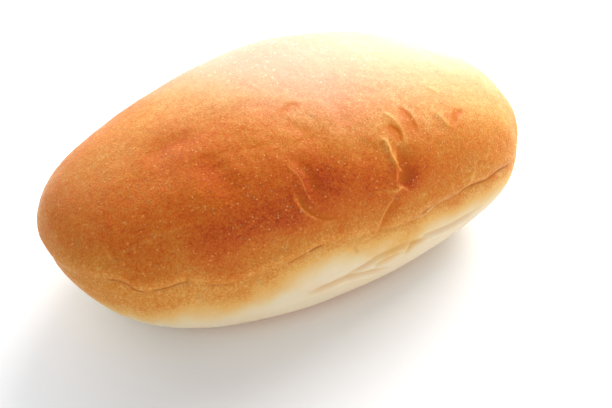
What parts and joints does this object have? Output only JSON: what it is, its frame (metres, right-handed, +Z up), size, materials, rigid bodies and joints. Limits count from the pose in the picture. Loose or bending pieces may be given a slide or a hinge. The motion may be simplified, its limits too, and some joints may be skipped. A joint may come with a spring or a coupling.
{
  "type": "bread roll",
  "caption": "Soft oval bread roll, baked whole, with a glossy golden-brown domed crust, pale folded flanks and a flat underside.",
  "frame": {"origin": "on the flat underside, below the middle of the roll's box", "axes": "+Z up; X along the roll, with its slimmer end at -X; -Y towards the flank with the pale folds"},
  "size_m": [0.1518, 0.0858, 0.0561],
  "materials": {
    "crust": null
  },
  "bodies": {
    "root": {"bread_roll": "crust"}
  },
  "joints": []
}
